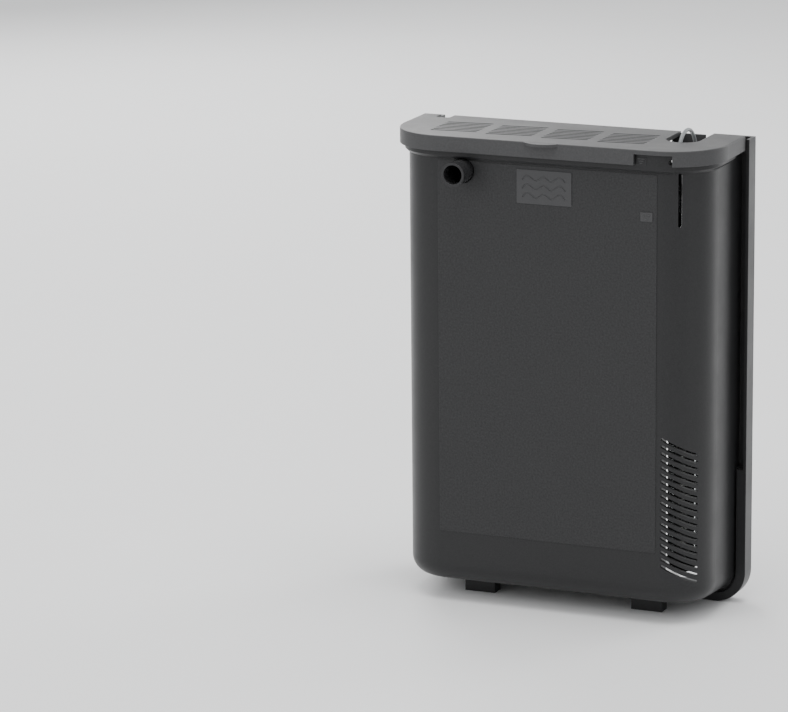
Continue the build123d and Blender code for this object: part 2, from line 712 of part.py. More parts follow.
with BuildPart() as heater_guard:
    # a closed sleeve with a rounded foot
    with BuildSketch(Plane.XZ):
        with BuildLine():
            Polyline((guard_bore, foot_z), (guard_bore, guard_top), (guard_r, guard_top), (guard_r, foot_z))
            RadiusArc((guard_r, foot_z), (0, foot_z - guard_r), guard_r)
            Line((0, foot_z - guard_r), (0, foot_z - guard_bore))
            RadiusArc((0, foot_z - guard_bore), (guard_bore, foot_z), -guard_bore)
        make_face()
    revolve(axis=Axis.Z)
    # the window strip over the controls, at the back
    with Locations((0, guard_r - 1, (cage_top + guard_top) / 2 + 3)):
        Box(15, 6, guard_top - cage_top - 24, mode=Mode.SUBTRACT)
    # the cage round the element: gaps between the rings, broken by five bars
    with BuildSketch(Plane.XY.offset(foot_z + 2)):
        Circle(guard_r + 1)
        Circle(guard_bore - 1, mode=Mode.SUBTRACT)
        with PolarLocations((guard_r + guard_bore) / 2, 5, start_angle=110):
            Rectangle(4, 1.8, mode=Mode.SUBTRACT)
    cage_gap = extrude(amount=ring_pitch - ring_t, mode=Mode.PRIVATE)
    with Locations(*[(0, 0, i * ring_pitch) for i in range(ring_count)]):
        add(cage_gap, mode=Mode.SUBTRACT)
heater_guard.part = heater_guard.part.moved(Location((heater_x, heater_y, 0)))
save(heater_guard.part, "heater_guard")

for name, clip_z in (("heater_clip_upper", 295.0), ("heater_clip_lower", 190.5)):
    clip_h = 12.0
    with BuildPart() as heater_clip:
        with Locations((heater_x, heater_y, clip_z + clip_h / 2)):
            Cylinder(15.5, clip_h)
        # the square socket for a suction cup, with its two catches
        with Locations((heater_x - 2, heater_y + 15.2, clip_z + clip_h / 2)):
            Box(17.5, 5, clip_h + 1.4)
        with Locations((heater_x - 2, heater_y + 17.2, clip_z + clip_h / 2 - 2)):
            with GridLocations(8.4, 1, 2, 1):
                Box(1.6, 3, 7, mode=Mode.SUBTRACT)
        with Locations((heater_x, heater_y, clip_z + clip_h / 2)):
            Cylinder(guard_r + 0.02, clip_h + 3, mode=Mode.SUBTRACT)
    save(heater_clip.part, name)

# ---- the heater's mains lead: a limp cord, its coil, tail, tie and plug ----
cord_d = 3.0
coil_mid_d = 36.0
coil_bundle = 9.6
tie_t = 0.7
coil_x = 0.0
coil_y = rear + 62.0
plug_x = coil_x - 92.0
boot_length = 20.0
plug_y = coil_y + 12.0

gland_y = heater_y - gland_reach
cord_route = [
    (heater_x, gland_y, gland_top),
    (heater_x, gland_y, 366),
    (heater_x, gland_y + 11, 389.5),
    (heater_x + 1, gland_y + 31, 391),
    (heater_x + 1, gland_y + 45, 371),
    (heater_x - 4, rear - 14, 343),
    (heater_x - 18, rear - 17, 320),
    (heater_wall_x + 1, rear - 13, 310.5),
    (heater_wall_x, rear + 4, 310),
    (heater_wall_x + 1, rear + 9, 284),
    (heater_wall_x + 3, rear + 10, 232),
    (heater_wall_x + 4, rear + 12, 180),
    (heater_wall_x + 7, rear + 11, 126),
    (heater_wall_x + 7, rear + 13, 74),
    (heater_wall_x + 6, rear + 17, 30),
    (heater_wall_x + 1, rear + 34, 4),
    (heater_wall_x - 16, rear + 60, 1.6),
    (coil_x + 25, coil_y + coil_mid_d / 2 - 0.5, 2),
    (coil_x + 5, coil_y + coil_mid_d / 2, 2.4),
]
tail_route = [
    (coil_x - 5, coil_y + coil_mid_d / 2, 6.5),
    (coil_x - 21, coil_y + coil_mid_d / 2 + 1, 5),
    (coil_x - 39, coil_y + 14, 5.4),
    (plug_x + 16 + boot_length, plug_y, 7),
]


def route_radii(points):
    """The bend radius at each inner point: as large as its two runs allow."""
    runs = [math.dist(a, b) for a, b in zip(points, points[1:])]
    radii = []
    for i in range(1, len(points) - 1):
        before = Vector(*points[i]) - Vector(*points[i - 1])
        after = Vector(*points[i + 1]) - Vector(*points[i])
        turn = math.radians(before.get_angle(after))
        radii.append(0.45 * min(runs[i - 1], runs[i]) / math.tan(turn / 2))
    return radii


def cord_tube(points, name):
    """A plain round tube along the route, with its bends as arcs."""
    radii = route_radii(points)
    print(name, "runs", [round(math.dist(a, b)) for a, b in zip(points, points[1:])],
          "radii", [round(r) for r in radii])
    with BuildPart() as tube:
        with BuildLine() as path:
            FilletPolyline(*points, radius=radii)
        with BuildSketch(Plane(path.line @ 0, z_dir=path.line % 0)):
            Circle(cord_d / 2)
        sweep(path=path.line, transition=Transition.RIGHT)
    length = path.wire().length
    print(name, "length", round(length, 1), "volume share",
          round(tube.part.volume / (length * math.pi * cord_d ** 2 / 4), 3))
    save(tube.part, name)


cord_tube(cord_route, "heater_cord")
cord_tube(tail_route, "heater_cord_tail")

with BuildPart() as cord_coil:
    with BuildSketch(Plane.XZ):
        with Locations((coil_mid_d / 2, coil_bundle / 2 + tie_t + 0.1)):
            RectangleRounded(coil_bundle, coil_bundle, 2.6)
    revolve(axis=Axis.Z)
cord_coil.part = cord_coil.part.moved(Location((coil_x, coil_y, 0)))
save(cord_coil.part, "cord_coil")

with BuildPart() as coil_tie:
    with BuildSketch(Plane.XZ.offset(-coil_y + 3)):
        with Locations((coil_x + coil_mid_d / 2 - 0.1, coil_bundle / 2 + tie_t + 0.1)):
            RectangleRounded(coil_bundle + 0.8 + 2 * tie_t, coil_bundle + 0.2 + 2 * tie_t, 3.2)
            RectangleRounded(coil_bundle + 0.8, coil_bundle + 0.2, 2.6, mode=Mode.SUBTRACT)
    extrude(amount=-6)
save(coil_tie.part, "coil_tie")

with BuildPart() as mains_plug:
    with BuildSketch(Plane.YZ.offset(plug_x + 16)):
        with Locations((plug_y, 7)):
            RectangleRounded(12, 10, 4)
    with BuildSketch(Plane.YZ.offset(plug_x - 2)):
        with Locations((plug_y, 7)):
            RectangleRounded(34, 13.6, 6)
    loft()
    with BuildSketch(Plane.YZ.offset(plug_x - 2)):
        with Locations((plug_y, 7)):
            RectangleRounded(34, 13.6, 6)
    extrude(amount=-16)
save(mains_plug.part, "mains_plug")

with BuildPart() as plug_boot:
    with BuildSketch(Plane.YZ.offset(plug_x + 16.02)):
        with Locations((plug_y, 7)):
            Circle(4.4)
    with BuildSketch(Plane.YZ.offset(plug_x + 16 + boot_length)):
        with Locations((plug_y, 7)):
            Circle(2.3)
    loft()
save(plug_boot.part, "plug_boot")

with BuildPart() as plug_pins:
    with BuildSketch(Plane.YZ.offset(plug_x - 18)):
        with Locations((plug_y - 9.2, 7), (plug_y + 9.2, 7)):
            Circle(2.0)
    extrude(amount=-19)
    fillet(plug_pins.faces().sort_by(Axis.X)[:2].edges(), 1.0)
save(plug_pins.part, "plug_pins")
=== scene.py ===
import json
import math

import bmesh
import bpy
import numpy as np
from mathutils import Matrix, Vector


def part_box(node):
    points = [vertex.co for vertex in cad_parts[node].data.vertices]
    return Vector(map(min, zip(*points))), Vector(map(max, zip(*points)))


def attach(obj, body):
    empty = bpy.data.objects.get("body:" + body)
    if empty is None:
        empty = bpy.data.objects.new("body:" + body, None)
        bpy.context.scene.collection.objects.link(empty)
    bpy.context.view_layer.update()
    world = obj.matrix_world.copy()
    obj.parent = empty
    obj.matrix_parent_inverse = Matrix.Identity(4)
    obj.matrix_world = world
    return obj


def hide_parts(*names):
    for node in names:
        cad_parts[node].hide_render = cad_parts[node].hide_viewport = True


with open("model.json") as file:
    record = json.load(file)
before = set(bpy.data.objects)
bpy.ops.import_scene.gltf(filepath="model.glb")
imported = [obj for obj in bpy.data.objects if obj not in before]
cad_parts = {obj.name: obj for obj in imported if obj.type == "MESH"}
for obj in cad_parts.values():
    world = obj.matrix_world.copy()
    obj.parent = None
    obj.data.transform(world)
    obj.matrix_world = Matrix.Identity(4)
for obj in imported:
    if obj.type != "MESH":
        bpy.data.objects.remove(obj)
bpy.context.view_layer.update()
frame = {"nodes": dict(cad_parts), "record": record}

mm = 0.001
nodes = frame["nodes"]


# ---- places, read from the frame ----
def middle(node):
    """The centre of a CAD node's box."""
    low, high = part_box(node)
    return (low + high) / 2


glass_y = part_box("housing_shell")[1].y  # the plane of the aquarium's glass
body_depth = 97 * mm
front_y = glass_y - body_depth  # the outside of the front wall
level_x, level_z = 83.6 * mm, 330 * mm  # the middle of the level plate
heater = middle("heater_knob")
coil = middle("cord_coil")
gland_low, gland_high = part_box("lead_gland")
gland = (gland_low + gland_high) / 2
boot_low, boot_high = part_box("plug_boot")
boot = (boot_low + boot_high) / 2
wall_x = heater.x - 32 * mm  # the wall between the heater and the cartridges


# ---- camera ----
def make_camera():
    """A long lens, a little above the lid and to the right of the front."""
    azimuth = math.radians(23.53)
    elevation = math.radians(13.69)
    roll = math.radians(-0.53)
    target = Vector((-173.55 * mm, glass_y, 174.25 * mm))
    back = Vector((math.sin(azimuth) * math.cos(elevation), -math.cos(azimuth) * math.cos(elevation),
                   math.sin(elevation)))
    level = Vector((0, 0, 1)).cross(back).normalized()
    upright = back.cross(level)
    right = level * math.cos(roll) + upright * math.sin(roll)
    up = upright * math.cos(roll) - level * math.sin(roll)
    camera = bpy.data.objects.new("camera", bpy.data.cameras.new("camera"))
    camera.data.lens = 199.2
    camera.data.clip_end = 30
    place = target + back * 3.6036
    turn = Matrix((right, up, back)).transposed().to_4x4()
    camera.matrix_world = Matrix.Translation(place) @ turn
    bpy.context.scene.collection.objects.link(camera)
    bpy.context.scene.camera = camera


make_camera()


# ---- shader tools ----
def fill_socket(tree, socket, value):
    """Link a socket to another one, or set its value."""
    if isinstance(value, bpy.types.NodeSocket):
        tree.links.new(value, socket)
    else:
        socket.default_value = value


def put(tree, kind, inputs=(), **settings):
    """Add a shader node, with its settings and its inputs."""
    node = tree.nodes.new("ShaderNode" + kind)
    for name, value in settings.items():
        setattr(node, name, value)
    for name, value in dict(inputs).items():
        fill_socket(tree, node.inputs[name], value)
    return node


def calc(tree, operation, *values, clamp=False):
    """One step of arithmetic."""
    node = put(tree, "Math", operation=operation, use_clamp=clamp)
    for socket, value in zip(node.inputs, values):
        fill_socket(tree, socket, value)
    return node.outputs[0]


def mix_colours(tree, share, first, second):
    """The first colour where share is 0, the second where it is 1."""
    node = put(tree, "Mix", data_type="RGBA")
    for index, value in ((0, share), (6, first), (7, second)):
        fill_socket(tree, node.inputs[index], value)
    return node.outputs[2]


def remap(tree, value, low, high, out_low=0.0, out_high=1.0):
    """Stretch a value from one range to another, held at both ends."""
    node = put(tree, "MapRange", {"Value": value, "From Min": low, "From Max": high,
                                  "To Min": out_low, "To Max": out_high})
    return node.outputs["Result"]


def noise_at(tree, place, scale, detail=2.0, roughness=0.5):
    """Noise of that many cells to the metre."""
    return put(tree, "TexNoise", {"Vector": place, "Scale": scale, "Detail": detail,
                                  "Roughness": roughness}).outputs["Fac"]


def own_place(tree):
    """Each piece's own coordinates, in metres."""
    return put(tree, "TexCoord").outputs["Object"]


def new_effect(name, inputs, outputs):
    """An empty shader group with named sockets."""
    group = bpy.data.node_groups.new(name, "ShaderNodeTree")
    for label, kind, value in inputs:
        socket = group.interface.new_socket(label, in_out="INPUT", socket_type="NodeSocket" + kind)
        socket.default_value = value
    for label, kind in outputs:
        group.interface.new_socket(label, in_out="OUTPUT", socket_type="NodeSocket" + kind)
    return group, group.nodes.new("NodeGroupInput").outputs, group.nodes.new("NodeGroupOutput").inputs


def place_effect(tree, group, **values):
    """Put an effect into a material with its own values."""
    node = tree.nodes.new("ShaderNodeGroup")
    node.node_tree = group
    for name, value in values.items():
        fill_socket(tree, node.inputs[name.replace("_", " ")], value)
    return node.outputs


# ---- effects that several finishes share ----
def make_moulded_grain():
    """The fine spark-eroded grain of a moulding's surface."""
    group, given, result = new_effect("moulded grain", [("Cells", "Float", 1500.0)],
                                      [("Height", "Float"), ("Tone", "Float")])
    place = own_place(group)
    coarse = noise_at(group, place, given["Cells"], 3.0, 0.6)
    finer = calc(group, "MULTIPLY", given["Cells"], 1.4)
    cells = put(group, "TexVoronoi", {"Vector": place, "Scale": finer}, feature="SMOOTH_F1")
    pits = cells.outputs["Distance"]
    height = calc(group, "ADD", calc(group, "MULTIPLY", coarse, 0.7), calc(group, "MULTIPLY", pits, 0.5))
    group.links.new(height, result["Height"])
    group.links.new(remap(group, coarse, 0.3, 0.7), result["Tone"])
    return group


def make_handling_marks():
    """Smudges from wet hands, and hairline scuffs."""
    group, given, result = new_effect("handling marks", [("Smudge scale", "Float", 22.0)],
                                      [("Smudge", "Float"), ("Hairline", "Float")])
    place = own_place(group)
    patches = noise_at(group, place, given["Smudge scale"], 5.0, 0.62)
    group.links.new(remap(group, patches, 0.32, 0.72, -1.0, 1.0), result["Smudge"])
    along = put(group, "Mapping", {"Vector": place, "Rotation": (0.25, 0.4, 0.1),
                                   "Scale": (30.0, 900.0, 900.0)})
    streaks = noise_at(group, along.outputs[0], 1.0, 2.0, 0.5)
    here = remap(group, noise_at(group, place, 14.0, 2.0, 0.5), 0.52, 0.7)
    thin = remap(group, streaks, 0.68, 0.75)
    group.links.new(calc(group, "MULTIPLY", thin, here), result["Hairline"])
    return group


def make_soft_edges():
    """Rounds the sharp edges of a moulding, and marks them for wear."""
    group, given, result = new_effect("soft edges", [("Radius", "Float", 0.0006)],
                                      [("Normal", "Vector"), ("Edge", "Float")])
    round_normal = put(group, "Bevel", {"Radius": given["Radius"]}, samples=6).outputs["Normal"]
    flat_normal = put(group, "NewGeometry").outputs["Normal"]
    same = put(group, "VectorMath", operation="DOT_PRODUCT")
    group.links.new(round_normal, same.inputs[0])
    group.links.new(flat_normal, same.inputs[1])
    group.links.new(round_normal, result["Normal"])
    group.links.new(remap(group, same.outputs["Value"], 0.99, 0.8), result["Edge"])
    return group


def make_settled_dust():
    """Dust on faces that look up, thicker in patches."""
    group, given, result = new_effect("settled dust", [("Amount", "Float", 0.2)], [("Mask", "Float")])
    up = put(group, "SeparateXYZ", {"Vector": put(group, "NewGeometry").outputs["Normal"]}).outputs["Z"]
    place = own_place(group)
    patches = calc(group, "MULTIPLY", remap(group, noise_at(group, place, 35.0, 4.0, 0.7), 0.35, 0.7),
                   remap(group, noise_at(group, place, 2200.0, 2.0, 0.6), 0.4, 0.65))
    facing = remap(group, up, 0.35, 0.95)
    group.links.new(calc(group, "MULTIPLY", calc(group, "MULTIPLY", patches, facing), given["Amount"]),
                    result["Mask"])
    return group


def make_within_box():
    """1 inside a box, 0 outside it, in the piece's own coordinates."""
    limits = [("Centre", "Vector", (0, 0, 0)), ("Half", "Vector", (1, 1, 1))]
    group, given, result = new_effect("within box", limits, [("Mask", "Float")])
    offset = put(group, "VectorMath", operation="SUBTRACT")
    group.links.new(own_place(group), offset.inputs[0])
    group.links.new(given["Centre"], offset.inputs[1])
    share = put(group, "VectorMath", operation="DIVIDE")
    group.links.new(offset.outputs[0], share.inputs[0])
    group.links.new(given["Half"], share.inputs[1])
    parts = put(group, "SeparateXYZ", {"Vector": put(group, "VectorMath", {0: share.outputs[0]},
                                                     operation="ABSOLUTE").outputs[0]})
    largest = calc(group, "MAXIMUM", calc(group, "MAXIMUM", parts.outputs["X"], parts.outputs["Y"]),
                   parts.outputs["Z"])
    group.links.new(calc(group, "LESS_THAN", largest, 1.0), result["Mask"])
    return group


grain_effect = make_moulded_grain()
marks_effect = make_handling_marks()
edges_effect = make_soft_edges()
dust_effect = make_settled_dust()
box_effect = make_within_box()


# ---- finishes ----
def new_finish(name):
    """An empty material: its name, its node tree and its shader's inputs."""
    material = bpy.data.materials.new(name)
    material.use_nodes = True
    return material, material.node_tree, material.node_tree.nodes["Principled BSDF"].inputs


def moulded_plastic(name, colour, edge_colour, gloss, cells=1600.0, grain=0.02, radius=0.5, dust=0.12,
                    raised=None):
    """Pigmented plastic: fine grain, rubbed edges, smudges and a little dust.

    grain and radius are in millimetres; raised adds what stands on the surface.
    """
    material, tree, shader = new_finish(name)
    texture = place_effect(tree, grain_effect, Cells=cells)
    marks = place_effect(tree, marks_effect)
    edges = place_effect(tree, edges_effect, Radius=radius * mm)
    settled = place_effect(tree, dust_effect, Amount=dust)
    tone = mix_colours(tree, calc(tree, "MULTIPLY", texture["Tone"], 0.35), (*colour, 1), (*edge_colour, 1))
    worn = mix_colours(tree, calc(tree, "MULTIPLY", edges["Edge"], 0.55), tone, (*edge_colour, 1))
    scuffed = mix_colours(tree, calc(tree, "MULTIPLY", marks["Hairline"], 0.25), worn, (*edge_colour, 1))
    dusty = mix_colours(tree, settled["Mask"], scuffed, (0.36, 0.35, 0.33, 1))
    rough = calc(tree, "ADD", calc(tree, "MULTIPLY", marks["Smudge"], 0.05), gloss)
    rough = calc(tree, "ADD", rough, calc(tree, "MULTIPLY", settled["Mask"], 0.4), clamp=True)
    height = texture["Height"]
    if raised:
        dusty, rough, height = raised(tree, dusty, rough, height)
    bump = put(tree, "Bump", {"Strength": 1.0, "Distance": grain * mm, "Height": height,
                              "Normal": edges["Normal"]})
    tree.links.new(dusty, shader["Base Color"])
    tree.links.new(rough, shader["Roughness"])
    tree.links.new(bump.outputs["Normal"], shader["Normal"])
    shader["Specular IOR Level"].default_value = 0.26
    return material


def housing_zones(tree, colour, rough, height):
    """The sand-grained field on the front, and the smooth badge and level plates on it."""
    field = place_effect(tree, box_effect, Centre=(0, front_y, 211.5 * mm),
                         Half=(92 * mm, 1.2 * mm, 152 * mm))["Mask"]
    badge = place_effect(tree, box_effect, Centre=(-1.7 * mm, front_y - 1 * mm, 347 * mm),
                         Half=(23 * mm, 1.5 * mm, 13.5 * mm))["Mask"]
    level = place_effect(tree, box_effect, Centre=(level_x, front_y - 1 * mm, level_z),
                         Half=(5 * mm, 1.5 * mm, 3.5 * mm))["Mask"]
    plates = calc(tree, "MAXIMUM", badge, level)
    sand = calc(tree, "MULTIPLY", field, calc(tree, "SUBTRACT", 1.0, plates))
    grains = place_effect(tree, grain_effect, Cells=620.0)
    speckle = calc(tree, "MULTIPLY", calc(tree, "MULTIPLY", grains["Tone"], sand), 0.6)
    colour = mix_colours(tree, speckle, colour, (0.036, 0.036, 0.0375, 1))
    colour = mix_colours(tree, calc(tree, "MULTIPLY", plates, 0.65), colour, (0.06, 0.06, 0.062, 1))
    rough = calc(tree, "ADD", rough, calc(tree, "MULTIPLY", sand, 0.14))
    lift = calc(tree, "MULTIPLY", grains["Height"], 4.2)
    node = put(tree, "Mix", data_type="FLOAT")
    for index, value in ((0, sand), (2, height), (3, lift)):
        fill_socket(tree, node.inputs[index], value)
    return colour, rough, node.outputs[0]


def clear_plastic(name, tint, gloss, haze, through=0.85, ior=1.46, milk=0.0):
    """Clear moulded plastic or glass, milky or not, with haze and lime marks.

    through is the share of light that its shadow lets by.
    """
    material, tree, shader = new_finish(name)
    marks = place_effect(tree, marks_effect, Smudge_scale=40.0)
    edges = place_effect(tree, edges_effect, Radius=0.3 * mm)
    lime = remap(tree, noise_at(tree, own_place(tree), 160.0, 6.0, 0.7), 0.5, 0.75, 0.0, haze)
    colour = mix_colours(tree, lime, (*tint, 1), (0.9, 0.9, 0.88, 1))
    rough = calc(tree, "ADD", calc(tree, "MULTIPLY", marks["Smudge"], 0.03), gloss)
    rough = calc(tree, "ADD", rough, calc(tree, "MULTIPLY", lime, 0.5), clamp=True)
    shader["Transmission Weight"].default_value = 1.0 - milk
    shader["IOR"].default_value = ior
    tree.links.new(colour, shader["Base Color"])
    tree.links.new(rough, shader["Roughness"])
    tree.links.new(edges["Normal"], shader["Normal"])
    clear = put(tree, "BsdfTransparent", {"Color": (*tint, 1)})
    pick = put(tree, "MixShader")
    is_shadow = put(tree, "LightPath").outputs["Is Shadow Ray"]
    fill_socket(tree, pick.inputs[0], calc(tree, "MULTIPLY", is_shadow, through))
    tree.links.new(tree.nodes["Principled BSDF"].outputs[0], pick.inputs[1])
    tree.links.new(clear.outputs[0], pick.inputs[2])
    tree.links.new(pick.outputs[0], tree.nodes["Material Output"].inputs["Surface"])
    return material


def soft_rubber(name, colour, gloss, sheen=0.0):
    """Soft vinyl or rubber, with bloom and a faint orange peel."""
    material, tree, shader = new_finish(name)
    place = own_place(tree)
    bloom = remap(tree, noise_at(tree, place, 90.0, 4.0, 0.65), 0.4, 0.75)
    marks = place_effect(tree, marks_effect, Smudge_scale=60.0)
    pale = tuple(0.75 * c + 0.06 for c in colour)
    tree.links.new(mix_colours(tree, calc(tree, "MULTIPLY", bloom, 0.45), (*colour, 1), (*pale, 1)),
                   shader["Base Color"])
    rough = calc(tree, "ADD", calc(tree, "MULTIPLY", marks["Smudge"], 0.07), gloss)
    tree.links.new(rough, shader["Roughness"])
    peel = noise_at(tree, place, 1800.0, 2.0, 0.5)
    bump = put(tree, "Bump", {"Strength": 0.6, "Distance": 0.03 * mm, "Height": peel})
    tree.links.new(bump.outputs["Normal"], shader["Normal"])
    shader["Sheen Weight"].default_value = sheen
    return material


def bright_metal(name, colour, gloss):
    """Plated or drawn metal, with fine drawing lines and dull patches."""
    material, tree, shader = new_finish(name)
    marks = place_effect(tree, marks_effect, Smudge_scale=120.0)
    dull = mix_colours(tree, remap(tree, marks["Smudge"], 0.0, 1.0, 0.0, 0.5), (*colour, 1),
                       (*(0.55 * c for c in colour), 1))
    shader["Metallic"].default_value = 1.0
    tree.links.new(dull, shader["Base Color"])
    rough = calc(tree, "ADD", calc(tree, "MULTIPLY", marks["Smudge"], 0.08), gloss)
    tree.links.new(rough, shader["Roughness"])
    fine = place_effect(tree, grain_effect, Cells=4000.0)
    bump = put(tree, "Bump", {"Strength": 0.5, "Distance": 0.01 * mm, "Height": fine["Height"]})
    tree.links.new(bump.outputs["Normal"], shader["Normal"])
    return material


def mottled(name, dark, light, cells, contrast, rough, depth, detail=6.0, sheen=0.0):
    """A matt stuff with two mottled tones: foam, carbon, unglazed ceramic or floss; in the foam, the dark
    tone is painted shade of its pores.

    depth, of its bumps, is in millimetres.
    """
    material, tree, shader = new_finish(name)
    place = own_place(tree)
    patches = noise_at(tree, place, cells, detail, 0.68)
    specks = noise_at(tree, place, cells * 7, 3.0, 0.6)
    both = calc(tree, "ADD", calc(tree, "MULTIPLY", patches, 0.65), calc(tree, "MULTIPLY", specks, 0.35))
    share = remap(tree, both, 0.5 - contrast, 0.5 + contrast)
    tree.links.new(mix_colours(tree, share, (*dark, 1), (*light, 1)), shader["Base Color"])
    tree.links.new(remap(tree, specks, 0.2, 0.8, rough - 0.1, rough + 0.05), shader["Roughness"])
    bump = put(tree, "Bump", {"Strength": 0.9, "Distance": depth * mm, "Height": both})
    tree.links.new(bump.outputs["Normal"], shader["Normal"])
    shader["Sheen Weight"].default_value = sheen
    return material


black = (0.0105, 0.0105, 0.011)
finishes = {
    "housing_plastic": moulded_plastic(
        "black satin housing", black, (0.042, 0.042, 0.0435), 0.36, raised=housing_zones),
    "lid_plastic": moulded_plastic(
        "lid satin", (0.039, 0.039, 0.04), (0.085, 0.085, 0.087), 0.42, 1300.0, 0.035, 0.7, 0.22),
    "fitting_plastic": moulded_plastic(
        "gloss black fitting", (0.012, 0.012, 0.013), (0.07, 0.07, 0.072), 0.2,
        grain=0.008, radius=0.4, dust=0.08),
    "clear_pipe": clear_plastic("smoked riser pipe", (0.86, 0.88, 0.88), 0.3, 0.6, milk=0.12),
    "seal_rubber": soft_rubber("black seal rubber", (0.02, 0.02, 0.021), 0.6),
    "pump_plastic": moulded_plastic(
        "pump dark grey", (0.024, 0.025, 0.027), (0.1, 0.1, 0.105), 0.3, 1500.0, 0.02, 0.8, 0.14),
    "cup_rubber": soft_rubber("suction cup rubber", (0.045, 0.046, 0.05), 0.16),
    "rotor_magnet": moulded_plastic(
        "moulded magnet", (0.05, 0.05, 0.055), (0.2, 0.2, 0.2), 0.3, 900.0, 0.02),
    "shaft_ceramic": mottled(
        "polished shaft ceramic", (0.78, 0.78, 0.74), (0.9, 0.9, 0.87), 300.0, 0.3, 0.22, 0.004),
    "rack_plastic": moulded_plastic(
        "rack black", (0.022, 0.022, 0.024), (0.085, 0.085, 0.09), 0.34, 1500.0, 0.025, 0.5, 0.15),
    "clear_box": clear_plastic("smoke clear box", (0.86, 0.88, 0.9), 0.1, 0.35, ior=1.36, milk=0.04),
    "box_lid": clear_plastic("frosted grille", (0.9, 0.92, 0.93), 0.34, 0.75, ior=1.36, milk=0.22),
    "filter_floss": mottled(
        "white floss", (0.7, 0.72, 0.75), (0.97, 0.98, 0.99), 420.0, 0.28, 0.9, 0.5, sheen=0.4),
    "carbon_pellets": mottled(
        "matt carbon", (0.006, 0.006, 0.007), (0.07, 0.07, 0.075), 500.0, 0.3, 0.72, 0.08),
    # the foam's dark tone is painted shade in its open pores, laid in random patches over the foam's own
    # blue
    "blue_foam": mottled(
        "blue foam with painted pore shade", (0.004, 0.018, 0.1), (0.1, 0.31, 0.82), 430.0, 0.075, 0.85, 0.7, sheen=0.25),
    "ceramic_balls": mottled(
        "unglazed ball clay", (0.42, 0.27, 0.19), (0.8, 0.63, 0.52), 210.0, 0.24, 0.82, 0.12),
    "heater_plastic": moulded_plastic(
        "heater dark grey", (0.045, 0.047, 0.05), (0.15, 0.15, 0.155), 0.36, 1500.0, 0.02, 0.6, 0.18),
    "scale_print": mottled(
        "white scale print", (0.7, 0.7, 0.7), (0.92, 0.92, 0.91), 900.0, 0.25, 0.45, 0.01),
    "heater_glass": clear_plastic("heater glass", (0.93, 0.95, 0.95), 0.02, 0.12),
    "element_ceramic": mottled(
        "element ceramic", (0.72, 0.7, 0.66), (0.9, 0.89, 0.86), 500.0, 0.25, 0.35, 0.03),
    "control_board": moulded_plastic(
        "control board", (0.012, 0.013, 0.013), (0.05, 0.052, 0.052), 0.35, 2500.0, 0.01),
    "guard_plastic": moulded_plastic(
        "guard black", (0.02, 0.02, 0.021), (0.1, 0.1, 0.102), 0.26, 1500.0, 0.015, 0.35, 0.1),
    "cord_pvc": soft_rubber("grey cord vinyl", (0.19, 0.2, 0.205), 0.42),
    "tie_plastic": soft_rubber("black wire tie", (0.02, 0.02, 0.02), 0.38),
    "plug_pvc": soft_rubber("black plug vinyl", (0.03, 0.03, 0.031), 0.4),
    "pin_metal": bright_metal("nickel plated pins", (0.78, 0.76, 0.72), 0.2),
}
element_wire = bright_metal("resistance wire", (0.72, 0.7, 0.66), 0.28)

for part in frame["record"]["subparts"]:
    node = nodes[part["node"]]
    node.data.materials.clear()
    node.data.materials.append(finishes[part["material_slot"]])


# ---- piece tools ----
def add_piece(name, data, body, slot, material=None):
    """Put a mesh or curve in the scene, with its finish and the body it rides on."""
    piece = bpy.data.objects.new(name, data)
    bpy.context.scene.collection.objects.link(piece)
    data.materials.append(material or finishes[slot])
    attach(piece, body)
    return piece


def mesh_from(name, points, faces, smooth=True):
    """A mesh from lists of points and faces, with its faces turned outwards."""
    mesh = bpy.data.meshes.new(name)
    mesh.from_pydata([tuple(p) for p in points], [], [tuple(f) for f in faces])
    shell = bmesh.new()
    shell.from_mesh(mesh)
    bmesh.ops.remove_doubles(shell, verts=shell.verts, dist=1e-7)
    bmesh.ops.recalc_face_normals(shell, faces=shell.faces)
    shell.to_mesh(mesh)
    shell.free()
    for face in mesh.polygons:
        face.use_smooth = smooth
    return mesh


def ring_faces(rings, sides):
    """The faces that join rings of points, each ring to the next."""
    faces = []
    for ring in range(rings - 1):
        here, after = ring * sides, (ring + 1) * sides
        for i in range(sides):
            j = (i + 1) % sides
            faces.append((here + i, here + j, after + j, after + i))
    return faces


def turned(name, profile, centre, along=Vector((0, 0, 1)), sides=40):
    """A turned shape: profile is (radius, distance along the axis) from one end to the other."""
    facing = Vector((0, 0, 1)).rotation_difference(along).to_matrix()
    points = []
    for radius, reach in profile:
        for i in range(sides):
            angle = 2 * math.pi * i / sides
            rim = Vector((radius * math.cos(angle), radius * math.sin(angle), reach))
            points.append(centre + facing @ rim)
    faces = ring_faces(len(profile), sides)
    faces.append(tuple(range(sides)))
    faces.append(tuple(range((len(profile) - 1) * sides, len(profile) * sides)))
    return mesh_from(name, points, faces)


def smooth_line(name, points, thickness, steps_between=12):
    """A round wire or cord on one smooth line guided by its points."""
    curve = bpy.data.curves.new(name, "CURVE")
    curve.dimensions = "3D"
    curve.bevel_depth = thickness / 2
    curve.bevel_resolution = 3
    curve.use_fill_caps = True
    curve.resolution_u = steps_between
    spline = curve.splines.new("NURBS")
    spline.points.add(len(points) - 1)
    for point, place in zip(spline.points, points):
        point.co = (*place, 1)
    spline.order_u = 3
    spline.use_endpoint_u = True
    return curve


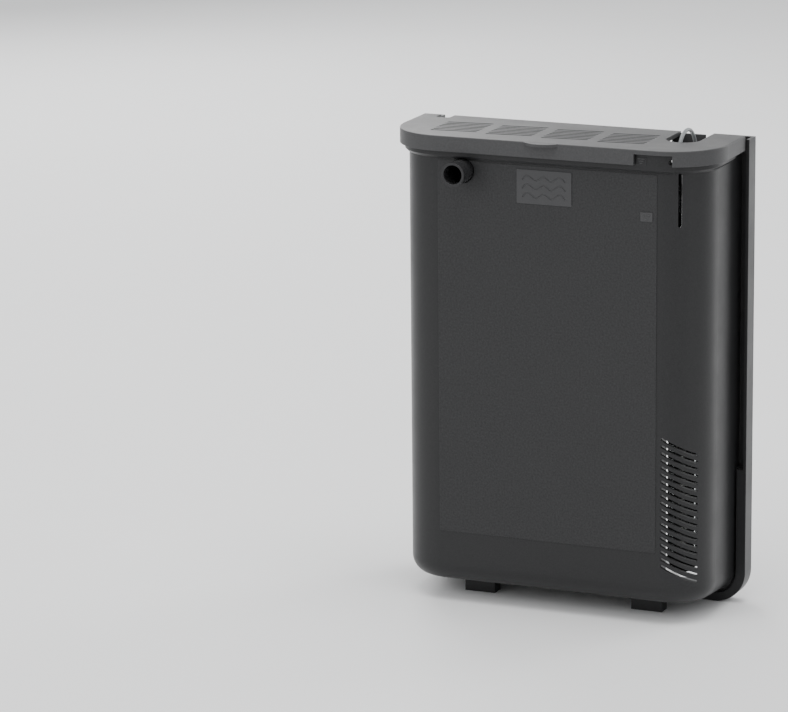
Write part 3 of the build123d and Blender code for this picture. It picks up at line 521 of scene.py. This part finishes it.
# ---- the heater's limp lead: over the wall, down the back, wound into its coil, and to its plug ----
cord_d = 3 * mm
tip_z = gland_high.z
lead_route = [
    (heater.x, gland.y, tip_z),
    (heater.x, gland.y, tip_z + 0.016),
    (heater.x, gland.y + 0.011, 0.3895),
    (heater.x + 0.001, gland.y + 0.031, 0.391),
    (heater.x + 0.001, gland.y + 0.045, 0.371),
    (heater.x - 0.004, glass_y - 0.014, 0.343),
    (heater.x - 0.018, glass_y - 0.017, 0.320),
    (wall_x + 0.001, glass_y - 0.013, 0.3105),
    (wall_x, glass_y + 0.004, 0.310),
    (wall_x + 0.001, glass_y + 0.009, 0.284),
    (wall_x + 0.003, glass_y + 0.010, 0.232),
    (wall_x + 0.004, glass_y + 0.012, 0.180),
    (wall_x + 0.007, glass_y + 0.011, 0.126),
    (wall_x + 0.007, glass_y + 0.013, 0.074),
    (wall_x + 0.006, glass_y + 0.017, 0.030),
    (wall_x + 0.001, glass_y + 0.034, 0.004),
    (wall_x - 0.016, glass_y + 0.060, 0.0016),
    (coil.x + 0.025, coil.y + 0.0205, 0.0020),
    (coil.x + 0.008, coil.y + 0.0210, 0.0024),
]
tail_route = [
    (coil.x - 0.009, coil.y + 0.0205, 0.0082),
    (coil.x - 0.021, coil.y + 0.0190, 0.0060),
    (coil.x - 0.039, coil.y + 0.0140, 0.0054),
    (boot_high.x, boot.y, boot.z),
]


def coil_turns():
    """Eight turns in three layers, each a cord's thickness from the next, wound outside in and back."""
    layers = (2.4, 5.6, 8.8)
    lays = [(21, 0), (18, 0), (15, 0), (15, 1), (18, 1), (21, 1), (18, 2), (21, 2)]
    steps = 20
    start = math.radians(78)
    sweep = 2 * math.pi * len(lays) + math.radians(24)
    points = []
    total = int(steps * sweep / (2 * math.pi))
    for i in range(total + 1):
        angle = sweep * i / total
        turn = min(int(angle / (2 * math.pi)), len(lays) - 1)
        share = angle / (2 * math.pi) - turn
        after = lays[min(turn + 1, len(lays) - 1)]
        ease = min(max((share - 0.78) / 0.22, 0.0), 1.0)
        ease = ease * ease * (3 - 2 * ease)
        radius = (lays[turn][0] * (1 - ease) + after[0] * ease) * mm
        height = (layers[lays[turn][1]] * (1 - ease) + layers[after[1]] * ease) * mm
        points.append((coil.x + radius * math.cos(start + angle),
                       coil.y + radius * math.sin(start + angle), height))
    return points


def ribbed_boot(name, centre, along, length, wide, narrow, body, slot):
    """A tapered bend relief with rings moulded round it."""
    rings = 6
    profile = [(wide * 0.9, 0.0), (wide, 0.0004), (wide, 0.0024)]
    for i in range(rings):
        share = i / rings
        here = wide + (narrow - wide) * share
        at = 0.0026 + (length - 0.0030) * share
        pitch = (length - 0.0030) / rings
        profile += [(here * 0.80, at), (here * 0.80, at + pitch * 0.38), (here * 0.98, at + pitch * 0.48),
                    (here * 0.95, at + pitch * 0.95)]
    profile += [(narrow, length - 0.0002), (cord_d / 2 + 0.00005, length)]
    return add_piece(name, turned(name, profile, centre, along), body, slot)


lead_points = lead_route + coil_turns() + tail_route
lead = add_piece("heater_lead", smooth_line("heater_lead", lead_points, cord_d, 6), "housing", "cord_pvc")
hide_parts("heater_cord", "cord_coil", "heater_cord_tail")
gland_boot = ribbed_boot("gland_boot", Vector((gland.x, gland.y, gland_low.z)), Vector((0, 0, 1)),
                         gland_high.z - gland_low.z, 4.3 * mm, 2.2 * mm, "housing", "cord_pvc")
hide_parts("lead_gland")
cable_boot = ribbed_boot("cable_boot", Vector((boot_low.x, boot.y, boot.z)), Vector((1, 0, 0)),
                         boot_high.x - boot_low.x, 4.4 * mm, 2.2 * mm, "housing", "plug_pvc")
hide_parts("plug_boot")


# ---- cartridge fillings ----
def inside(node, spare=0.0):
    """A filling's space, smaller by spare all round."""
    low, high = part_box(node)
    return np.array(low) + spare, np.array(high) - spare


def settle(low, high, size, seed, rounds=24):
    """Points about size apart that fill a box like poured grains, kept where they can be seen."""
    draw = np.random.default_rng(seed)
    counts = np.maximum(((high - low - size) / (size * 0.93)).astype(int) + 1, 1)
    axes = [np.linspace(low[k] + size / 2, high[k] - size / 2, counts[k]) for k in range(3)]
    grid = np.stack(np.meshgrid(*axes, indexing="ij"), -1).reshape(-1, 3)
    depth = np.minimum(grid - low, high - grid)
    near = (depth[:, 0] < 1.9 * size) | (depth[:, 1] < 1.9 * size) | (high[2] - grid[:, 2] < 1.9 * size)
    grid = grid[near]
    grid += draw.uniform(-0.42, 0.42, grid.shape) * size
    for _ in range(rounds):
        push = np.zeros_like(grid)
        for start in range(0, len(grid), 400):
            gap = grid[start:start + 400, None, :] - grid[None, :, :]
            apart = np.linalg.norm(gap, axis=2)
            close = (apart < size) & (apart > 1e-9)
            share = np.where(close, (size - apart) / np.maximum(apart, 1e-9), 0.0)
            push[start:start + 400] = (gap * share[:, :, None]).sum(1)
        grid = np.clip(grid + 0.3 * push, low + size / 2, high - size / 2)
    return grid, draw


def copies(name, shape_points, shape_faces, places, turns, sizes):
    """One mesh of many copies of a shape, each placed, turned and scaled."""
    points = np.concatenate([place + (shape_points * size) @ turn.T
                             for place, turn, size in zip(places, turns, sizes)])
    count = len(shape_points)
    faces = [tuple(v + i * count for v in face) for i in range(len(places)) for face in shape_faces]
    mesh = bpy.data.meshes.new(name)
    mesh.from_pydata(points.tolist(), [], faces)
    for face in mesh.polygons:
        face.use_smooth = True
    return mesh


def random_turn(draw):
    """A random rotation."""
    axis = draw.normal(size=3)
    return np.array(Matrix.Rotation(draw.uniform(0, 2 * math.pi), 3, Vector(axis).normalized()))


def ball_shape():
    """A round ball of radius 1."""
    ball = bmesh.new()
    bmesh.ops.create_icosphere(ball, subdivisions=3, radius=1.0)
    points = np.array([v.co for v in ball.verts])
    faces = [[v.index for v in f.verts] for f in ball.faces]
    ball.free()
    return points, faces


def pellet_shape():
    """A short extruded rod with broken, slightly rounded ends; radius 1, half length 1."""
    sides = 10
    rings = [(-1.0, 0.62), (-0.9, 0.92), (-0.7, 1.0), (0.7, 1.0), (0.88, 0.94), (1.0, 0.6)]
    angles = [2 * math.pi * i / sides for i in range(sides)]
    points = [(radius * math.cos(angle), radius * math.sin(angle), reach)
              for reach, radius in rings for angle in angles]
    faces = [tuple(range(sides))[::-1], tuple(range(len(points) - sides, len(points)))]
    faces += ring_faces(len(rings), sides)
    return np.array(points), faces


def pour_balls():
    """Porous ceramic balls, not quite round and of uneven size."""
    low, high = inside("ceramic_filling")
    size = 6.8 * mm
    places, draw = settle(low, high, size, 11)
    shape, faces = ball_shape()
    sizes = [size / 2 * draw.uniform(0.90, 1.0, 1) * draw.uniform(0.94, 1.0, 3) for _ in places]
    turns = [random_turn(draw) for _ in places]
    bed = copies("ceramic_ball_bed", shape, faces, places, turns, sizes)
    balls = add_piece("ceramic_ball_bed", bed, "ceramic_cartridge", "ceramic_balls")
    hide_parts("ceramic_filling")


def pour_pellets():
    """Black extruded carbon pellets, about 3 mm thick and 4 to 7 mm long."""
    low, high = inside("carbon_filling", 0.4 * mm)
    places, draw = settle(low, high, 4.1 * mm, 12)
    shape, faces = pellet_shape()
    sizes = []
    turns = []
    for _ in places:
        half_length = draw.uniform(1.9, 3.1) * mm
        sizes.append(np.array((1.5 * mm, 1.5 * mm, half_length)))
        turns.append(random_turn(draw))
    # a pellet near a wall lies along it
    reach = np.array([np.abs(turn[:, 2]) * size[2] + 1.5 * mm for turn, size in zip(turns, sizes)])
    places = np.minimum(np.maximum(places, low + reach), high - reach)
    bed = copies("carbon_pellet_bed", shape, faces, places, turns, sizes)
    pellets = add_piece("carbon_pellet_bed", bed, "carbon_cartridge", "carbon_pellets")
    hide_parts("carbon_filling")


def block_surface(low, high, step):
    """The surface of a box as points about step apart, and faces."""
    counts = np.maximum(((high - low) / step).astype(int), 2)
    points = []
    faces = []
    for axis in range(3):
        first, second = (axis + 1) % 3, (axis + 2) % 3
        for side in (0, 1):
            base = len(points)
            for i in range(counts[first] + 1):
                for j in range(counts[second] + 1):
                    point = np.zeros(3)
                    point[axis] = high[axis] if side else low[axis]
                    point[first] = low[first] + (high[first] - low[first]) * i / counts[first]
                    point[second] = low[second] + (high[second] - low[second]) * j / counts[second]
                    points.append(point)
            wide = counts[second] + 1
            for i in range(counts[first]):
                for j in range(counts[second]):
                    corner = base + i * wide + j
                    loop = (corner, corner + wide, corner + wide + 1, corner + 1)
                    faces.append(loop if side else loop[::-1])
    return np.array(points), faces


def lumps(points, cells, seed):
    """Smooth noise from a sum of plane waves, between about -1 and 1."""
    draw = np.random.default_rng(seed)
    total = np.zeros(len(points))
    for _ in range(14):
        wave = draw.normal(size=3)
        wave *= 2 * math.pi * cells * draw.uniform(0.6, 1.5) / np.linalg.norm(wave)
        total += np.sin(points @ wave + draw.uniform(0, 2 * math.pi))
    return total / 5


def pores(points, cells, seed):
    """How near each point is to the middle of the nearest cell, from 0 to 1."""
    pitch = 1 / cells
    home = np.floor(points / pitch).astype(int)
    best = np.full(len(points), 9.0)
    for dx in (-1, 0, 1):
        for dy in (-1, 0, 1):
            for dz in (-1, 0, 1):
                cell = home + np.array((dx, dy, dz))
                code = cell @ np.array((73856093, 19349663, 83492791)) + seed * 2654435
                jitter = np.stack([((code * k) % 10007) / 10007 for k in (3, 7, 13)], 1)
                gap = np.linalg.norm(points - (cell + jitter) * pitch, axis=1) / pitch
                best = np.minimum(best, gap)
    return np.clip(1 - best / 0.62, 0, 1)


def soften_block(points, low, high, bulge, corner):
    """Pull a block's edges and corners in, so that its faces are crowned."""
    centre = (low + high) / 2
    half = (high - low) / 2
    share = (points - centre) / half
    shaped = points.copy()
    for axis in range(3):
        others = [k for k in range(3) if k != axis]
        near_edge = np.maximum(np.abs(share[:, others[0]]), np.abs(share[:, others[1]]))
        pull = bulge * near_edge ** 4 + corner * np.clip((near_edge - 0.9) / 0.1, 0, 1) ** 2
        shaped[:, axis] = centre[axis] + (points[:, axis] - centre[axis]) * (1 - pull / half[axis])
    return shaped


def cut_foam():
    """A block of coarse open-cell foam, with torn pores on its cut faces."""
    low, high = inside("foam_filling", 0.2 * mm)
    points, faces = block_surface(low, high, 1.15 * mm)
    centre = (low + high) / 2
    shaped = soften_block(points, low, high, 0.8 * mm, 1.2 * mm)
    depth = pores(points, 300.0, 5) * 1.3 * mm + (1 + lumps(points, 60.0, 6)) * 0.25 * mm
    outward = (shaped - centre) / np.linalg.norm(shaped - centre, axis=1)[:, None]
    shaped -= outward * depth[:, None]
    foam = add_piece("foam_block", mesh_from("foam_block", shaped, faces), "foam_cartridge", "blue_foam")
    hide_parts("foam_filling")


def lay_floss():
    """A block of fluffy floss that fills its box, with loose fibres on its faces."""
    low, high = inside("floss_filling", 0.3 * mm)
    points, faces = block_surface(low, high, 1.05 * mm)
    centre = (low + high) / 2
    shaped = soften_block(points, low, high, 1.0 * mm, 1.6 * mm)
    tuft = (1.1 + lumps(points, 24.0, 20)) * 0.35 * mm
    tuft += (1.1 + lumps(points, 150.0, 30)) * 0.2 * mm
    tuft += (1.1 + lumps(points, 420.0, 40)) * 0.16 * mm
    outward = (shaped - centre) / np.linalg.norm(shaped - centre, axis=1)[:, None]
    shaped -= outward * tuft[:, None]
    floss = add_piece("floss_block", mesh_from("floss_block", shaped, faces), "floss_cartridge",
                      "filter_floss")
    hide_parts("floss_filling")
    fibres = bpy.data.curves.new("floss_fibres", "CURVE")
    fibres.dimensions = "3D"
    fibres.bevel_depth = 0.07 * mm
    fibres.bevel_resolution = 0
    fibres.resolution_u = 2
    draw = np.random.default_rng(41)
    for _ in range(420):
        axis = int(draw.integers(0, 3))
        start = draw.uniform(low + 2 * mm, high - 2 * mm)
        near_face = draw.random() < 0.5 and axis < 2
        start[axis] = (low[axis] + 0.7 * mm) if near_face else (high[axis] - 0.7 * mm)
        heading = draw.normal(size=3)
        heading[axis] = 0
        heading /= np.linalg.norm(heading)
        turn = draw.uniform(-1, 1)
        spline = fibres.splines.new("NURBS")
        spline.points.add(4)
        at = start.copy()
        for k, point in enumerate(spline.points):
            point.co = (*np.clip(at, low, high), 1)
            side = np.cross(heading, np.eye(3)[axis])
            at = at + (heading + side * turn * k * 0.4) * 2.4 * mm
            at[axis] = start[axis] + draw.uniform(-0.6, 0.5) * mm
        spline.order_u = 3
        spline.use_endpoint_u = True
    add_piece("floss_fibres", fibres, "floss_cartridge", "filter_floss")


pour_balls()
pour_pellets()
cut_foam()
lay_floss()


# ---- heater details ----
def wind_element():
    """A grooved ceramic rod wound with bright wire, and the disc above it."""
    low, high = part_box("heater_element")
    axis = middle("heater_element")
    rod_top = high.z - 12 * mm
    profile = [(3 * mm, low.z), (6.6 * mm, low.z + 0.6 * mm)]
    z = low.z + 2 * mm
    while z < rod_top - 9 * mm:
        profile += [(7.0 * mm, z), (7.3 * mm, z + 0.4 * mm), (7.3 * mm, z + 1.2 * mm),
                    (7.0 * mm, z + 1.6 * mm)]
        z += 2 * mm
    profile += [(6.6 * mm, z + 1 * mm), (2 * mm, z + 1.4 * mm), (2 * mm, rod_top + 3 * mm),
                (9.5 * mm, rod_top + 4 * mm), (9.5 * mm, rod_top + 7 * mm),
                (9.0 * mm, rod_top + 7.6 * mm), (1.5 * mm, rod_top + 8 * mm)]
    rod = add_piece("element_rod", turned("element_rod", profile, Vector((axis.x, axis.y, 0)), sides=32),
                    "housing", "element_ceramic")
    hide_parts("heater_element")
    turns = int((z - low.z - 6 * mm) / (2 * mm))
    steps = 12
    wire = []
    for i in range(turns * steps):
        angle = 2 * math.pi * i / steps
        wire.append((axis.x + 7.6 * mm * math.cos(angle), axis.y + 7.6 * mm * math.sin(angle),
                     low.z + 3.8 * mm + 2 * mm * i / steps))
    add_piece("element_winding", smooth_line("element_winding", wire, 0.75 * mm, 3), "housing",
              "element_ceramic", element_wire)


def print_knob_scale():
    """White strokes round the dial's top, longer at each fifth, and a pointer in its middle."""
    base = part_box("heater_knob")[1].z - 0.05 * mm
    thick = 0.09 * mm
    points = []
    faces = []

    def stroke(angle, inner, outer, width_in, width_out):
        """One raised stroke, from inner to outer radius."""
        across = Vector((-math.sin(angle), math.cos(angle), 0))
        out = Vector((math.cos(angle), math.sin(angle), 0))
        first = len(points)
        for z in (base, base + thick):
            for reach, width in ((inner, width_in), (outer, width_out)):
                for side in (-1, 1):
                    points.append(Vector((heater.x, heater.y, z)) + out * reach
                                  + across * side * width / 2)
        for face in ((0, 1, 3, 2), (4, 6, 7, 5), (0, 4, 5, 1), (1, 5, 7, 3), (3, 7, 6, 2),
                     (2, 6, 4, 0)):
            faces.append(tuple(first + k for k in face))

    for i in range(41):
        angle = math.radians(-220 + 6.5 * i)
        inner = (12.9 if i % 5 else 12.4) * mm
        stroke(angle, inner, 14.4 * mm, 0.35 * mm, 0.35 * mm)
    stroke(math.radians(90), 2.0 * mm, 7.6 * mm, 3.0 * mm, 0.3 * mm)
    scale = mesh_from("dial_scale_strokes", points, faces, smooth=False)
    add_piece("dial_scale_strokes", scale, "heater_dial", "scale_print")


def fit_controls():
    """The thermostat's bimetal blade and a small round lens on the control board."""
    low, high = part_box("heater_control_board")
    centre = middle("heater_control_board")
    lamp_profile = [(1.5 * mm, 0.0), (1.5 * mm, 2.2 * mm), (1.2 * mm, 3.0 * mm), (0.6 * mm, 3.5 * mm),
                    (0.1 * mm, 3.6 * mm)]
    lamp_foot = Vector((centre.x + 3 * mm, high.y - 0.2 * mm, low.z + 18 * mm))
    lamp = turned("heater_lamp", lamp_profile, lamp_foot, Vector((0, 1, 0)), 20)
    add_piece("heater_lamp", lamp, "housing", "scale_print")
    blade_line = [(centre.x - 4 * mm, high.y + 0.6 * mm, low.z + 30 * mm + 12 * mm * i) for i in range(5)]
    blade = smooth_line("bimetal_blade", blade_line, 1.1 * mm)
    add_piece("bimetal_blade", blade, "housing", "pin_metal")


wind_element()
print_knob_scale()
fit_controls()


# ---- level marks: short raised bars on the two level plates ----
def raise_level_bars():
    """Three small bars on each plate show the highest and lowest water level."""
    bars = bmesh.new()
    for x, y, z, wide in ((level_x, front_y - 1.1 * mm, level_z, 6.4 * mm),
                          (80.0 * mm, front_y - 3.9 * mm, 374.6 * mm, 5.6 * mm)):
        for i in range(3):
            made = bmesh.ops.create_cube(bars, size=1.0)
            size = Vector((wide * (1.0, 0.72, 0.44)[i], 0.5 * mm, 0.8 * mm))
            spot = Vector((x, y, z + (1 - i) * 1.7 * mm))
            for vert in made["verts"]:
                vert.co = Vector(a * b for a, b in zip(vert.co, size)) + spot
    bmesh.ops.bevel(bars, geom=bars.edges[:], offset=0.15 * mm, segments=2, affect="EDGES")
    mesh = bpy.data.meshes.new("level_bars")
    bars.to_mesh(mesh)
    bars.free()
    add_piece("level_bars", mesh, "housing", "housing_plastic", finishes["lid_plastic"])


raise_level_bars()


# ---- studio ----
def make_floor():
    """A plain pale floor."""
    reach = 14.0
    corners = [(-reach, -reach, 0), (reach, -reach, 0), (reach, reach, 0), (-reach, reach, 0)]
    mesh = mesh_from("studio_floor", corners, [(0, 1, 2, 3)])
    floor = bpy.data.objects.new("studio_floor", mesh)
    bpy.context.scene.collection.objects.link(floor)
    material, tree, shader = new_finish("pale floor")
    tone = noise_at(tree, own_place(tree), 3.0, 3.0, 0.5)
    pale = mix_colours(tree, tone, (0.82, 0.82, 0.82, 1), (0.86, 0.86, 0.86, 1))
    tree.links.new(pale, shader["Base Color"])
    shader["Roughness"].default_value = 0.65
    floor.data.materials.append(material)


def hang_light(name, place, aim, size, watts):
    """A soft rectangular light."""
    light = bpy.data.lights.new(name, "AREA")
    light.shape = "RECTANGLE"
    light.size, light.size_y = size
    light.energy = watts
    holder = bpy.data.objects.new(name, light)
    holder.location = place
    holder.rotation_euler = (Vector(aim) - Vector(place)).to_track_quat("-Z", "Y").to_euler()
    bpy.context.scene.collection.objects.link(holder)


make_floor()
world = bpy.data.worlds.new("pale room")
world.use_nodes = True
backdrop = world.node_tree.nodes["Background"].inputs
backdrop["Color"].default_value = (0.93, 0.94, 0.95, 1)
backdrop["Strength"].default_value = 1.0
bpy.context.scene.world = world
centre = (0, 0, 0.19)
hang_light("front_left_light", (-1.7, -2.2, 1.5), centre, (1.4, 1.8), 26)
hang_light("front_right_light", (2.1, -0.9, 0.9), centre, (0.5, 1.8), 3)
hang_light("top_light", (0.2, -0.3, 2.4), centre, (1.6, 1.2), 34)
hang_light("rear_left_light", (-1.6, 2.0, 1.3), centre, (1.2, 1.6), 30)
hang_light("rear_right_light", (1.5, 2.1, 1.1), centre, (1.0, 1.6), 24)
